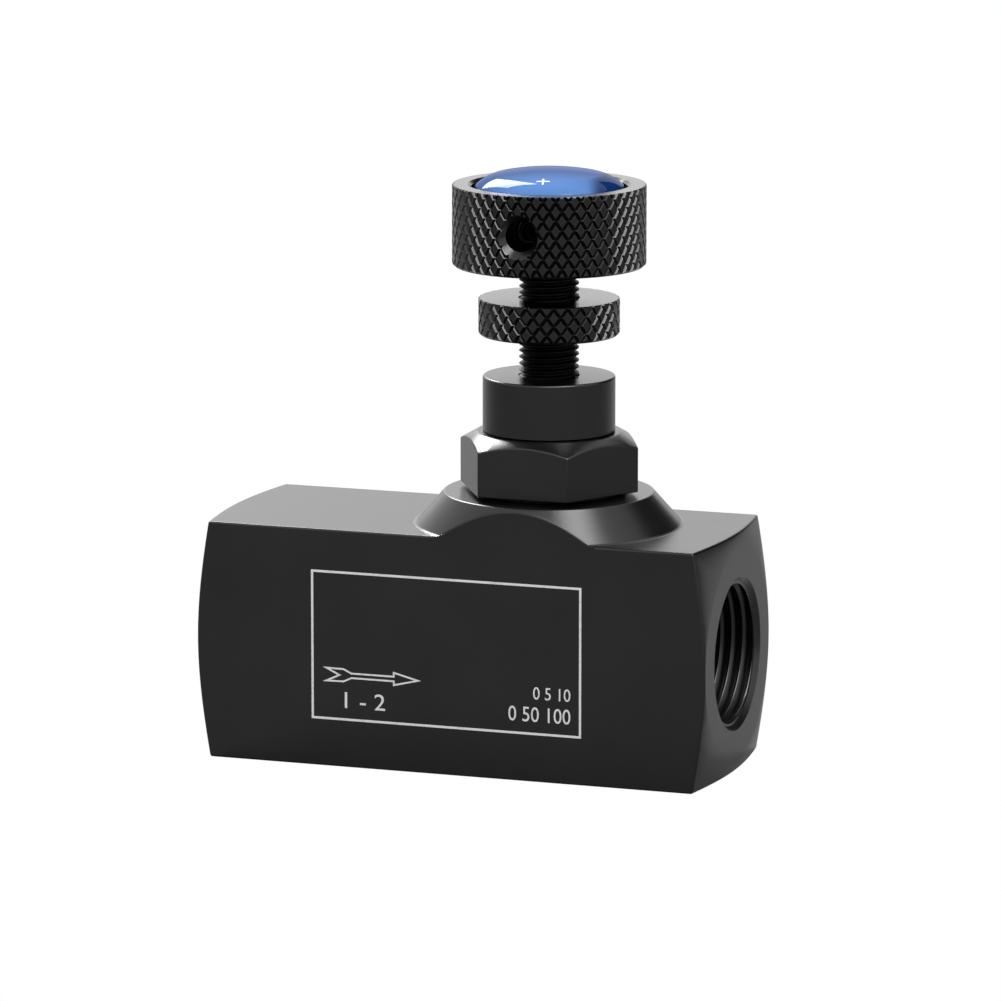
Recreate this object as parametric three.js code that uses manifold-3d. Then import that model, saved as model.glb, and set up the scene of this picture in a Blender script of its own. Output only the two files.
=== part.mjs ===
// In-line throttle and check valve for hydraulic lines, with a 3/8 taper pipe port at each end.
// Oil enters at the left port and is metered by a needle on its way to the right port. Flowing
// back, it pushes a sprung poppet off its seat and passes freely.
// Units are millimetres. The origin is the middle of the block's underside: +X is the direction
// of metered flow, -Y is the marked face and +Z points up the spindle.
import * as THREE from 'three';
import { mergeVertices } from 'three/addons/utils/BufferGeometryUtils.js';
import Module from 'manifold-3d';

// Driving dimensions

const ROUND = 32; // sides of a small turned piece
const FINE = 48; // sides of a large turned piece
const GAP = 0.1; // clearance left between neighbouring pieces
const BLOCK = { length: 62, width: 25, height: 28 };
const END_FACE = { flatRadius: 12.3, cornerRadius: 18.77, setBack: 1.5 };
const BOSS = { baseRadius: 15.5, topRadius: 12.15, top: 31.8 };
const STEM_X = 8;

const PORT = { mouthRadius: 8.97, chamfer: 0.55, threadRadius: 7.9, depth: 13, taper: 1 / 16 };
const PASSAGE = { radius: 2.9, offset: 4.5 };
const CHECK_BORE = { radius: 5.2, top: 14.8 };
const CHAMBER = { throatRadius: 4, bottom: 15.6, radius: 5.5, top: 21.6 };
const BONNET_BORE = { sealRadius: 7, sealTop: 25.4, threadRadius: 8 };

const PLUG = { threadRadius: 6, bottom: 0.3, shoulder: 5.5, noseTop: 7.4, socketAcross: 5 };
const PLUG_GROOVE = { radius: 4.2, bottom: 5.8, top: 7.0 };
const SPRING_POCKET = { radius: 3.3, plugFloor: 6.6, poppetRoof: 11.3 };
const SPRING = { coilRadius: 2.75, wireRadius: 0.28, bottom: 6.95, top: 10.95, turns: 4 };
const POPPET = { guideRadius: 5, flatDistance: 4, bottom: 9.5, guideTop: 11.4, orificeRadius: 1.5 };
const POPPET_HEAD = { radius: 4.3, coneBottom: 11.9, noseRadius: 3, coneTop: 13.2, top: 14.4 };
const SEAT_RING = { bottom: 13, top: 14.7, innerRadius: 3.4 };

const HEX = { across: 18.85, bottom: 32.2, top: 38.85, ledgeRadius: 8.35, chamferSlope: 0.577 };
const COLLAR = { radius: 7.675, top: 45.35, neckRadius: 7.3, neckTop: 39.5, edge: 0.25 };
const BONNET_NOSE = { radius: 6.9, bottom: 21.9, threadBottom: 25.8 };
const BONNET_GROOVE = { radius: 5.5, bottom: 22.7, top: 24.9 };
const SPINDLE_BORE = { radius: 4.6, top: 37, threadRadius: 3.55 };
const WASHER = { innerRadius: 8.1, outerRadius: 8.95 };

const SPINDLE = { threadRadius: 3.45, reliefRadius: 3, reliefTop: 35, threadTop: 58, top: 64.5 };
const LAND = { radius: 4.5, bottom: 27.6, top: 33.8 };
const LAND_GROOVE = { radius: 3.3, bottom: 29.3, top: 31.7 };
const NEEDLE = { tipRadius: 0.4, tip: 13.9, coneRadius: 2.2, coneTop: 18.87, shankRadius: 2.8 };

const LOCK_RING = { radius: 8.175, bottom: 50.15, top: 54.4, boreRadius: 3.6, edge: 0.35 };
const LOCK_INSERT = { radius: 4.8, bottom: 50.4, top: 51.4 };
const KNOB = { radius: 11.2, bottom: 58.2, top: 67.6, edge: 0.4, boreRadius: 3.1, boreTop: 64.7 };
const CAP_RECESS = { radius: 9.05, floor: 65.4 };
const SET_SCREW = { radius: 1.65, across: 2, inner: 2.75, outer: 6.75, flatDistance: 2.6, height: 62.9 };
const SCREW_HOLE = { radius: 1.75, countersinkRadius: 2.5 };
const CAP_DISC = { radius: 8.75, top: 66.3 };
const CAP_DOME = { radius: 8.55, bottom: 66.4, edgeTop: 67.3, crown: 69.4 };

// Finishes: name, colour, roughness and metalness

const FINISH = {
  blackSteel: [0x26272a, 0.38, 0.7],
  blackAluminium: [0x1d1e21, 0.42, 0.6],
  groundSteel: [0x9a9ca0, 0.3, 0.9],
  springSteel: [0xb4b6ba, 0.3, 0.9],
  sealRubber: [0x141414, 0.75, 0],
  whitePolymer: [0xe6e4dc, 0.5, 0],
  bluePrint: [0x1b62bf, 0.4, 0],
  clearBlueResin: [0x2a78d8, 0.08, 0],
};

const wasm = await Module();
wasm.setup();

// Solid operations

function toSolid(geometry) {
  const bare = geometry.clone();
  bare.deleteAttribute('normal');
  bare.deleteAttribute('uv');
  const merged = mergeVertices(bare, 1e-4);
  const vertProperties = new Float32Array(merged.attributes.position.array);
  const triVerts = new Uint32Array(merged.index.array);
  return new wasm.Manifold(new wasm.Mesh({ numProp: 3, vertProperties, triVerts }));
}

function toGeometry(solid) {
  const mesh = solid.getMesh();
  const geometry = new THREE.BufferGeometry();
  geometry.setAttribute('position', new THREE.BufferAttribute(mesh.vertProperties, 3));
  geometry.setIndex(new THREE.BufferAttribute(mesh.triVerts, 1));
  geometry.computeVertexNormals();
  return geometry;
}

// A solid turned about Z. The profile is a list of [radius, height] that runs from the lowest
// point, up the outside, and back down the axis or the bore.
function turned(profile, sides = ROUND) {
  const points = profile.map(([radius, height]) => new THREE.Vector2(radius, height));
  const first = points[0];
  const last = points[points.length - 1];
  const onAxis = first.x === 0 && last.x === 0;
  if (!onAxis) points.push(first.clone());
  const geometry = new THREE.LatheGeometry(points, sides);
  geometry.rotateX(Math.PI / 2);
  return geometry;
}

function disc(radius, bottom, top, sides = ROUND) {
  return turned([[0, bottom], [radius, bottom], [radius, top], [0, top]], sides);
}

function ring(innerRadius, outerRadius, bottom, top) {
  return turned([
    [innerRadius, bottom],
    [outerRadius, bottom],
    [outerRadius, top],
    [innerRadius, top],
  ]);
}

function sealRing(centreRadius, sectionRadius, height) {
  const corners = 6;
  const profile = [];
  for (let i = 0; i < corners; i += 1) {
    const angle = (i / corners) * 2 * Math.PI;
    const radius = centreRadius + sectionRadius * Math.cos(angle);
    profile.push([radius, height + sectionRadius * Math.sin(angle)]);
  }
  return turned(profile);
}

// A straight hexagonal bar along Z whose first corner points along +X.
function hexBar(across, bottom, top) {
  const corner = across / Math.sqrt(3);
  const shape = new THREE.Shape();
  for (let i = 0; i < 6; i += 1) {
    const angle = (i * Math.PI) / 3;
    const point = [corner * Math.cos(angle), corner * Math.sin(angle)];
    if (i === 0) shape.moveTo(...point);
    else shape.lineTo(...point);
  }
  shape.closePath();
  const geometry = new THREE.ExtrudeGeometry(shape, { depth: top - bottom, bevelEnabled: false });
  geometry.translate(0, 0, bottom);
  return geometry;
}

function box(low, high) {
  const size = high.map((value, i) => value - low[i]);
  const geometry = new THREE.BoxGeometry(...size);
  geometry.translate(...low.map((value, i) => value + size[i] / 2));
  return geometry;
}

// The piece along Z becomes a piece along X, its +Z end turned to +X.
function alongX(geometry) {
  return geometry.rotateY(Math.PI / 2);
}

// Pieces screwed or pressed into the block

function valveBody() {
  const halfLength = BLOCK.length / 2;
  const halfWidth = BLOCK.width / 2;
  const portZ = BLOCK.height / 2;
  const slope = END_FACE.setBack / (END_FACE.cornerRadius - END_FACE.flatRadius);
  const outerRadius = END_FACE.cornerRadius + 1;
  const shoulder = halfLength - slope * (outerRadius - END_FACE.flatRadius);
  const turnedBar = alongX(turned([
    [0, -halfLength],
    [END_FACE.flatRadius, -halfLength],
    [outerRadius, -shoulder],
    [outerRadius, shoulder],
    [END_FACE.flatRadius, halfLength],
    [0, halfLength],
  ], FINE)).translate(0, 0, portZ);
  const block = box([-halfLength, -halfWidth, 0], [halfLength, halfWidth, BLOCK.height]);

  const bossFoot = BLOCK.height - 2;
  const cone = turned([
    [0, bossFoot],
    [BOSS.baseRadius, bossFoot],
    [BOSS.baseRadius, BLOCK.height],
    [BOSS.topRadius, BOSS.top],
    [0, BOSS.top],
  ], FINE).translate(STEM_X, 0, 0);
  const slab = box([-halfLength, -halfWidth, 0], [halfLength, halfWidth, BOSS.top + 1]);

  let body = toSolid(block).intersect(toSolid(turnedBar));
  body = body.add(toSolid(cone).intersect(toSolid(slab)));
  for (const side of [-1, 1]) {
    body = body.subtract(toSolid(portBore(side)));
    body = body.subtract(toSolid(passageBore(side)));
  }
  return toGeometry(body.subtract(toSolid(verticalBore())));
}

// side is 1 for the outlet at +X and -1 for the inlet at -X.
function portBore(side) {
  const face = BLOCK.length / 2;
  const mouth = face - PORT.chamfer;
  const floor = face - PORT.depth;
  const floorRadius = PORT.threadRadius - (PORT.depth * PORT.taper) / 2;
  const bore = alongX(turned([
    [0, floor],
    [floorRadius, floor],
    [PORT.threadRadius, mouth],
    [PORT.mouthRadius - PORT.chamfer, mouth],
    [PORT.mouthRadius + 1, face + 1],
    [0, face + 1],
  ], FINE));
  if (side < 0) bore.rotateZ(Math.PI);
  return bore.translate(0, 0, BLOCK.height / 2);
}

// The inlet feeds the space under the poppet and the outlet leaves the space above its seat.
function passageBore(side) {
  const portFloor = BLOCK.length / 2 - PORT.depth + 1;
  const low = side < 0 ? -portFloor : STEM_X;
  const high = side < 0 ? STEM_X : portFloor;
  const bore = alongX(disc(PASSAGE.radius, low, high, 24));
  return bore.translate(0, 0, BLOCK.height / 2 + side * PASSAGE.offset);
}

function verticalBore() {
  return turned([
    [0, -1],
    [PLUG.threadRadius, -1],
    [PLUG.threadRadius, PLUG.shoulder],
    [CHECK_BORE.radius, PLUG.shoulder],
    [CHECK_BORE.radius, CHECK_BORE.top],
    [CHAMBER.throatRadius, CHECK_BORE.top],
    [CHAMBER.throatRadius, CHAMBER.bottom],
    [CHAMBER.radius, CHAMBER.bottom],
    [CHAMBER.radius, CHAMBER.top],
    [BONNET_BORE.sealRadius, CHAMBER.top],
    [BONNET_BORE.sealRadius, BONNET_BORE.sealTop],
    [BONNET_BORE.threadRadius, BONNET_BORE.sealTop],
    [BONNET_BORE.threadRadius, BOSS.top + 1],
    [0, BOSS.top + 1],
  ]).translate(STEM_X, 0, 0);
}

function bottomPlug() {
  const threadRadius = PLUG.threadRadius - GAP;
  const noseRadius = CHECK_BORE.radius - GAP;
  const threadTop = PLUG.shoulder - GAP;
  const turnedPlug = turned([
    [0, PLUG.bottom],
    [threadRadius, PLUG.bottom],
    [threadRadius, threadTop],
    [noseRadius, threadTop],
    [noseRadius, PLUG_GROOVE.bottom],
    [PLUG_GROOVE.radius, PLUG_GROOVE.bottom],
    [PLUG_GROOVE.radius, PLUG_GROOVE.top],
    [noseRadius, PLUG_GROOVE.top],
    [noseRadius, PLUG.noseTop],
    [SPRING_POCKET.radius, PLUG.noseTop],
    [SPRING_POCKET.radius, SPRING_POCKET.plugFloor],
    [0, SPRING_POCKET.plugFloor],
  ]);
  const socket = hexBar(PLUG.socketAcross, PLUG.bottom - 1, PLUG.bottom + 2.6);
  return toGeometry(toSolid(turnedPlug).subtract(toSolid(socket)));
}

function bottomPlugSeal() {
  const section = (CHECK_BORE.radius - PLUG_GROOVE.radius) / 2 - 0.03;
  const centre = (CHECK_BORE.radius + PLUG_GROOVE.radius) / 2;
  return sealRing(centre, section, (PLUG_GROOVE.bottom + PLUG_GROOVE.top) / 2);
}

class SpringLine extends THREE.Curve {
  getPoint(t) {
    const angle = t * SPRING.turns * 2 * Math.PI;
    const height = SPRING.bottom + t * (SPRING.top - SPRING.bottom);
    const { coilRadius } = SPRING;
    return new THREE.Vector3(coilRadius * Math.cos(angle), coilRadius * Math.sin(angle), height);
  }
}

function checkSpring() {
  const section = new THREE.Shape();
  section.absarc(0, 0, SPRING.wireRadius, 0, 2 * Math.PI, false);
  return new THREE.ExtrudeGeometry(section, {
    steps: SPRING.turns * 10,
    curveSegments: 3,
    bevelEnabled: false,
    extrudePath: new SpringLine(),
  });
}

// A cup with a conical head. Three flats on its guide let oil past.
function checkPoppet() {
  const turnedPoppet = turned([
    [SPRING_POCKET.radius, POPPET.bottom],
    [POPPET.guideRadius, POPPET.bottom],
    [POPPET.guideRadius, POPPET.guideTop],
    [POPPET_HEAD.radius, POPPET.guideTop],
    [POPPET_HEAD.radius, POPPET_HEAD.coneBottom],
    [POPPET_HEAD.noseRadius, POPPET_HEAD.coneTop],
    [POPPET_HEAD.noseRadius, POPPET_HEAD.top],
    [POPPET.orificeRadius, POPPET_HEAD.top],
    [POPPET.orificeRadius, SPRING_POCKET.poppetRoof],
    [SPRING_POCKET.radius, SPRING_POCKET.poppetRoof],
  ]);
  let poppet = toSolid(turnedPoppet);
  const reach = POPPET.guideRadius + 1;
  for (let i = 0; i < 3; i += 1) {
    const flat = box(
      [POPPET.flatDistance, -reach, POPPET.bottom - 1],
      [reach, reach, POPPET.guideTop + GAP],
    ).rotateZ((i * 2 * Math.PI) / 3);
    poppet = poppet.subtract(toSolid(flat));
  }
  return toGeometry(poppet);
}

function seatRing() {
  return ring(SEAT_RING.innerRadius, CHECK_BORE.radius - GAP, SEAT_RING.bottom, SEAT_RING.top);
}

// Bonnet and its seals

function bonnet() {
  const hexSolid = toSolid(hexBar(HEX.across, HEX.bottom, HEX.top));
  const corner = HEX.across / Math.sqrt(3) + GAP;
  const topDrop = (corner - HEX.ledgeRadius) * HEX.chamferSlope;
  const chamferCone = turned([
    [0, HEX.bottom - 1],
    [corner, HEX.bottom - 1],
    [corner, HEX.top - topDrop],
    [HEX.ledgeRadius, HEX.top],
    [0, HEX.top],
  ], FINE);
  const shankRadius = BONNET_BORE.threadRadius - GAP;
  const turnedParts = turned([
    [0, BONNET_NOSE.bottom],
    [BONNET_NOSE.radius, BONNET_NOSE.bottom],
    [BONNET_NOSE.radius, BONNET_GROOVE.bottom],
    [BONNET_GROOVE.radius, BONNET_GROOVE.bottom],
    [BONNET_GROOVE.radius, BONNET_GROOVE.top],
    [BONNET_NOSE.radius, BONNET_GROOVE.top],
    [BONNET_NOSE.radius, BONNET_NOSE.threadBottom],
    [shankRadius, BONNET_NOSE.threadBottom],
    [shankRadius, HEX.bottom],
    [COLLAR.neckRadius, HEX.bottom],
    [COLLAR.neckRadius, COLLAR.neckTop],
    [COLLAR.radius, COLLAR.neckTop],
    [COLLAR.radius, COLLAR.top - COLLAR.edge],
    [COLLAR.radius - COLLAR.edge, COLLAR.top],
    [0, COLLAR.top],
  ]);
  const bore = turned([
    [0, BONNET_NOSE.bottom - 1],
    [SPINDLE_BORE.radius, BONNET_NOSE.bottom - 1],
    [SPINDLE_BORE.radius, SPINDLE_BORE.top],
    [SPINDLE_BORE.threadRadius, SPINDLE_BORE.top],
    [SPINDLE_BORE.threadRadius, COLLAR.top - 0.5],
    [SPINDLE_BORE.threadRadius + 1.5, COLLAR.top + 1],
    [0, COLLAR.top + 1],
  ]);
  const head = hexSolid.intersect(toSolid(chamferCone));
  return toGeometry(head.add(toSolid(turnedParts)).subtract(toSolid(bore)));
}

function bonnetWasher() {
  const slack = 0.05;
  return ring(WASHER.innerRadius, WASHER.outerRadius, BOSS.top + slack, HEX.bottom - slack);
}

function bonnetSeal() {
  const section = (BONNET_BORE.sealRadius - BONNET_GROOVE.radius) / 2 - 0.05;
  const centre = (BONNET_BORE.sealRadius + BONNET_GROOVE.radius) / 2;
  return sealRing(centre, section, BONNET_GROOVE.bottom + section + GAP);
}

function bonnetBackupRing() {
  const inner = BONNET_GROOVE.radius + 0.05;
  const outer = BONNET_BORE.sealRadius - GAP;
  return ring(inner, outer, BONNET_GROOVE.top - 0.7, BONNET_GROOVE.top - GAP);
}

// Spindle and its seals

function throttleSpindle() {
  const endEdge = 0.4;
  const turnedSpindle = turned([
    [0, NEEDLE.tip],
    [NEEDLE.tipRadius, NEEDLE.tip],
    [NEEDLE.coneRadius, NEEDLE.coneTop],
    [NEEDLE.shankRadius, NEEDLE.coneTop + 0.6],
    [NEEDLE.shankRadius, LAND.bottom],
    [LAND.radius, LAND.bottom],
    [LAND.radius, LAND_GROOVE.bottom],
    [LAND_GROOVE.radius, LAND_GROOVE.bottom],
    [LAND_GROOVE.radius, LAND_GROOVE.top],
    [LAND.radius, LAND_GROOVE.top],
    [LAND.radius, LAND.top],
    [SPINDLE.reliefRadius, LAND.top],
    [SPINDLE.reliefRadius, SPINDLE.reliefTop],
    [SPINDLE.threadRadius, SPINDLE.reliefTop + endEdge],
    [SPINDLE.threadRadius, SPINDLE.threadTop],
    [SPINDLE.reliefRadius, SPINDLE.threadTop + GAP],
    [SPINDLE.reliefRadius, SPINDLE.top - endEdge],
    [SPINDLE.reliefRadius - endEdge, SPINDLE.top],
    [0, SPINDLE.top],
  ]);
  const reach = SPINDLE.threadRadius;
  const flat = box(
    [-reach, -reach, SET_SCREW.height - 2],
    [reach, -SET_SCREW.flatDistance, SPINDLE.top + 1],
  );
  return toGeometry(toSolid(turnedSpindle).subtract(toSolid(flat)));
}

function stemSeal() {
  const section = (SPINDLE_BORE.radius - LAND_GROOVE.radius) / 2 - 0.05;
  const centre = (SPINDLE_BORE.radius + LAND_GROOVE.radius) / 2;
  return sealRing(centre, section, LAND_GROOVE.bottom + section + GAP);
}

function stemBackupRing() {
  const inner = LAND_GROOVE.radius + 0.05;
  const outer = SPINDLE_BORE.radius - GAP;
  return ring(inner, outer, LAND_GROOVE.top - 0.8, LAND_GROOVE.top - GAP);
}

// Lock ring

function lockRing() {
  const { radius, bottom, top, boreRadius, edge } = LOCK_RING;
  const pocketRadius = LOCK_INSERT.radius + GAP;
  return turned([
    [pocketRadius, bottom],
    [radius - edge, bottom],
    [radius, bottom + edge],
    [radius, top - edge],
    [radius - edge, top],
    [boreRadius, top],
    [boreRadius, LOCK_INSERT.top + GAP],
    [pocketRadius, LOCK_INSERT.top + GAP],
  ], FINE);
}

function lockRingInsert() {
  return ring(LOCK_RING.boreRadius, LOCK_INSERT.radius, LOCK_INSERT.bottom, LOCK_INSERT.top);
}

// Knob, its set screw and its cap

function knob() {
  const { radius, bottom, top, edge, boreRadius, boreTop } = KNOB;
  const turnedKnob = turned([
    [0, boreTop],
    [boreRadius, boreTop],
    [boreRadius, bottom],
    [radius - edge, bottom],
    [radius, bottom + edge],
    [radius, top - edge],
    [radius - edge, top],
    [CAP_RECESS.radius, top],
    [CAP_RECESS.radius, CAP_RECESS.floor],
    [0, CAP_RECESS.floor],
  ], FINE);
  const sink = SCREW_HOLE.countersinkRadius - SCREW_HOLE.radius;
  const hole = turned([
    [0, boreRadius - 0.5],
    [SCREW_HOLE.radius, boreRadius - 0.5],
    [SCREW_HOLE.radius, radius - sink],
    [SCREW_HOLE.countersinkRadius + 0.5, radius + 0.5],
    [0, radius + 0.5],
  ], 24).rotateX(Math.PI / 2).translate(0, 0, SET_SCREW.height);
  return toGeometry(toSolid(turnedKnob).subtract(toSolid(hole)));
}

function knobSetScrew() {
  const { radius, across, inner, outer, height } = SET_SCREW;
  const rod = turned([
    [0, inner],
    [radius - 0.4, inner],
    [radius, inner + 0.4],
    [radius, outer],
    [0, outer],
  ], 24);
  const socket = hexBar(across, outer - 1.6, outer + 1);
  const screw = toGeometry(toSolid(rod).subtract(toSolid(socket)));
  return screw.rotateX(Math.PI / 2).translate(0, 0, height);
}

function capDisc() {
  return disc(CAP_DISC.radius, CAP_RECESS.floor + GAP, CAP_DISC.top);
}

// A shallow dome: a short cylinder under a spherical crown.
function capDome() {
  const { radius, bottom, edgeTop, crown } = CAP_DOME;
  const rise = crown - edgeTop;
  const sphere = (radius * radius + rise * rise) / (2 * rise);
  const rings = 6;
  const profile = [[0, bottom], [radius, bottom]];
  for (let i = 0; i <= rings; i += 1) {
    const r = radius * (1 - i / rings);
    profile.push([r, crown - sphere + Math.sqrt(sphere * sphere - r * r)]);
  }
  return turned(profile);
}

// Assembly

function named(name, geometry, finish) {
  const [color, roughness, metalness] = finish;
  const material = new THREE.MeshStandardMaterial({ color, roughness, metalness });
  const mesh = new THREE.Mesh(geometry, material);
  mesh.name = name;
  return mesh;
}

// Everything on the spindle's axis stands in this group.
const onAxis = new THREE.Group();
onAxis.position.x = STEM_X;
onAxis.add(
  named('bottom_plug', bottomPlug(), FINISH.blackSteel),
  named('bottom_plug_o_ring', bottomPlugSeal(), FINISH.sealRubber),
  named('check_spring', checkSpring(), FINISH.springSteel),
  named('check_poppet', checkPoppet(), FINISH.groundSteel),
  named('seat_ring', seatRing(), FINISH.groundSteel),
  named('bonnet', bonnet(), FINISH.blackSteel),
  named('bonnet_washer', bonnetWasher(), FINISH.blackSteel),
  named('bonnet_o_ring', bonnetSeal(), FINISH.sealRubber),
  named('bonnet_backup_ring', bonnetBackupRing(), FINISH.whitePolymer),
  named('throttle_spindle', throttleSpindle(), FINISH.blackSteel),
  named('stem_o_ring', stemSeal(), FINISH.sealRubber),
  named('stem_backup_ring', stemBackupRing(), FINISH.whitePolymer),
  named('lock_ring', lockRing(), FINISH.blackAluminium),
  named('lock_ring_insert', lockRingInsert(), FINISH.whitePolymer),
  named('knob', knob(), FINISH.blackAluminium),
  named('knob_set_screw', knobSetScrew(), FINISH.blackSteel),
  named('cap_disc', capDisc(), FINISH.bluePrint),
  named('cap_dome', capDome(), FINISH.clearBlueResin),
);

const valve = new THREE.Group();
valve.add(named('valve_body', valveBody(), FINISH.blackSteel), onAxis);

export default valve;
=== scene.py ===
import math

import bpy
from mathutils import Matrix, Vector


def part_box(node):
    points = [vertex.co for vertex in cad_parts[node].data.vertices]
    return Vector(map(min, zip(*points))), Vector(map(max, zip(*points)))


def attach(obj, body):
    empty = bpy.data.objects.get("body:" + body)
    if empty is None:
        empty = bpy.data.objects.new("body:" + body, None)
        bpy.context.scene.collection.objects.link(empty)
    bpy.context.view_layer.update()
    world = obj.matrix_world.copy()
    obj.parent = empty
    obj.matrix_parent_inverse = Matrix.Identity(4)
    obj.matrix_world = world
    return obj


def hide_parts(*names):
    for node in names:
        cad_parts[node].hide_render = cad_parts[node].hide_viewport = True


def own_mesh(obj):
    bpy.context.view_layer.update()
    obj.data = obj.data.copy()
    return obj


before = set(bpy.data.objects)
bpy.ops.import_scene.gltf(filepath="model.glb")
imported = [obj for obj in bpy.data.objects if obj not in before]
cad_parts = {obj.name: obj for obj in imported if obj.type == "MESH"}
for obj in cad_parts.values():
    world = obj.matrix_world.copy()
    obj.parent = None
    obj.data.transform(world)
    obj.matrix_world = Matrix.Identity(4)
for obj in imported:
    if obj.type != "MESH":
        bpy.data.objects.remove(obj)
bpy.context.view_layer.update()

# ---------------------------------------------------------------------------------------------
# Studio: a white room with a pale floor, soft boxes behind on the left, in front and above, and
# a black card behind on the right. A long-lens camera looks a little down on the front.
# ---------------------------------------------------------------------------------------------
MM = 0.001
scene = bpy.context.scene
scene.view_settings.view_transform = "Standard"


def deselect():
    """Leaves object mode with nothing selected, so an operator acts only on what is picked next."""
    if bpy.context.object and bpy.context.object.mode != "OBJECT":
        bpy.ops.object.mode_set(mode="OBJECT")
    bpy.ops.object.select_all(action="DESELECT")


def pick(piece):
    """Selects one piece alone and makes it the active one."""
    deselect()
    piece.select_set(True)
    bpy.context.view_layer.objects.active = piece


camera_turn = math.radians(19.185)
camera_tilt = math.radians(10.808)
camera_distance = 787.95 * MM
camera_target = Vector((2.063 * MM, 0, 30.177 * MM))
camera_back = Vector((
    math.sin(camera_turn) * math.cos(camera_tilt),
    -math.cos(camera_turn) * math.cos(camera_tilt),
    math.sin(camera_tilt),
))
deselect()
bpy.ops.object.camera_add(location=camera_target + camera_back * camera_distance)
camera = bpy.context.object
camera.rotation_euler = camera_back.to_track_quat("Z", "Y").to_euler()
camera.data.sensor_width = 36
camera.data.lens = 243.88
camera.data.clip_start = 0.01
scene.camera = camera

world = bpy.data.worlds.new("white_room")
world.use_nodes = True
scene.world = world
room = world.node_tree.nodes["Background"]
room.inputs["Color"].default_value = (1, 1, 1, 1)
room.inputs["Strength"].default_value = 1.3


def new_finish(name):
    """A new material, with its nodes, its links and its main shader."""
    finish = bpy.data.materials.new(name)
    finish.use_nodes = True
    tree = finish.node_tree
    return finish, tree.nodes, tree.links, tree.nodes["Principled BSDF"]


def soft_box(name, direction, distance, width, height, power):
    """A rectangular soft box that faces the middle of the valve."""
    deselect()
    aim = Vector(direction).normalized()
    bpy.ops.object.light_add(type="AREA", location=camera_target + aim * distance)
    light = bpy.context.object
    light.name = name
    light.rotation_euler = aim.to_track_quat("Z", "Y").to_euler()
    light.data.shape = "RECTANGLE"
    light.data.size = width
    light.data.size_y = height
    light.data.energy = power
    light.visible_camera = False


def dark_card(name, direction, distance, width, height):
    """A black card that keeps the room's light off one side."""
    deselect()
    aim = Vector(direction).normalized()
    turn = aim.to_track_quat("Z", "Y").to_euler()
    place = camera_target + aim * distance
    bpy.ops.mesh.primitive_plane_add(size=1, location=place, rotation=turn)
    card = bpy.context.object
    card.name = name
    card.scale = (width, height, 1)
    card.data.materials.append(card_black)
    card.visible_camera = False
    card.visible_shadow = False


stand_off = 0.9
soft_box("window_box", (-0.499, 0.574, 0.649), stand_off, 0.30, 0.45, 9.5)
soft_box("key_box", (0.40, -0.54, 0.74), stand_off, 0.75, 0.36, 6)
soft_box("top_box", (0.37, -0.14, 0.92), stand_off, 0.30, 0.30, 3.3)
card_black, _, _, card_shader = new_finish("card_black")
card_shader.inputs["Base Color"].default_value = (0.02, 0.02, 0.02, 1)
dark_card("right_card", (0.54, 0.80, 0.28), stand_off, 1.05, 0.80)

floor_size = 12
bpy.ops.mesh.primitive_plane_add(size=floor_size, location=(0, 0, 0))
floor = bpy.context.object
floor.name = "floor"
floor_paint, nodes, links, _ = new_finish("floor_white")
nodes.clear()
ground = nodes.new("ShaderNodeBsdfDiffuse")
ground.inputs["Color"].default_value = (0.20, 0.20, 0.20, 1)
glow = nodes.new("ShaderNodeEmission")
glow.inputs["Color"].default_value = (1, 1, 1, 1)
rays = nodes.new("ShaderNodeLightPath")
blend = nodes.new("ShaderNodeMixShader")
surface = nodes.new("ShaderNodeOutputMaterial")
links.new(rays.outputs["Is Camera Ray"], blend.inputs["Fac"])
links.new(ground.outputs["BSDF"], blend.inputs[1])
links.new(glow.outputs["Emission"], blend.inputs[2])
links.new(blend.outputs["Shader"], surface.inputs["Surface"])
floor.data.materials.append(floor_paint)

# ---------------------------------------------------------------------------------------------
# Valve block: a length of square steel bar, turned round at both ends, with a cone turned on
# its top for the bonnet. Drilled and tapped, its edges broken, then blackened all over.
# ---------------------------------------------------------------------------------------------
body_low, body_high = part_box("valve_body")
bonnet_low, bonnet_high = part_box("bonnet")
stem_x = (bonnet_low.x + bonnet_high.x) / 2
block_top = 28
block_height = block_top * MM
port_height = block_height / 2
port_face = body_high.x
boss_top = body_high.z


def turned_piece(name, outline, sides=128, hollow=False, middle=stem_x):
    """Stacks a circle into rings of the given (radius, height), in millimetres, from the bottom.
    A hollow piece's last ring joins its first one; any other is closed by flat ends."""
    deselect()
    radius, height = outline[0]
    place = (middle, 0, height * MM)
    bpy.ops.mesh.primitive_circle_add(vertices=sides, radius=radius * MM, location=place)
    piece = bpy.context.object
    piece.name = name
    bpy.ops.object.transform_apply(location=True, rotation=False, scale=False)
    bpy.ops.object.mode_set(mode="EDIT")
    bpy.ops.mesh.select_mode(type="EDGE")
    bpy.ops.mesh.select_all(action="SELECT")
    for next_radius, next_height in outline[1:]:
        rise = (0, 0, (next_height - height) * MM)
        bpy.ops.mesh.extrude_region_move(TRANSFORM_OT_translate={"value": rise})
        scale = next_radius / radius
        centre = (middle, 0, next_height * MM)
        bpy.ops.transform.resize(value=(scale, scale, 1), center_override=centre)
        radius, height = next_radius, next_height
    bpy.ops.mesh.select_all(action="DESELECT")
    bpy.ops.mesh.select_non_manifold()
    if hollow:
        bpy.ops.mesh.bridge_edge_loops()
    else:
        bpy.ops.mesh.fill_holes(sides=0)
    bpy.ops.mesh.select_all(action="SELECT")
    bpy.ops.mesh.remove_doubles(threshold=0.0005 * MM)
    bpy.ops.mesh.normals_make_consistent(inside=False)
    bpy.ops.object.mode_set(mode="OBJECT")
    return piece


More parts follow.
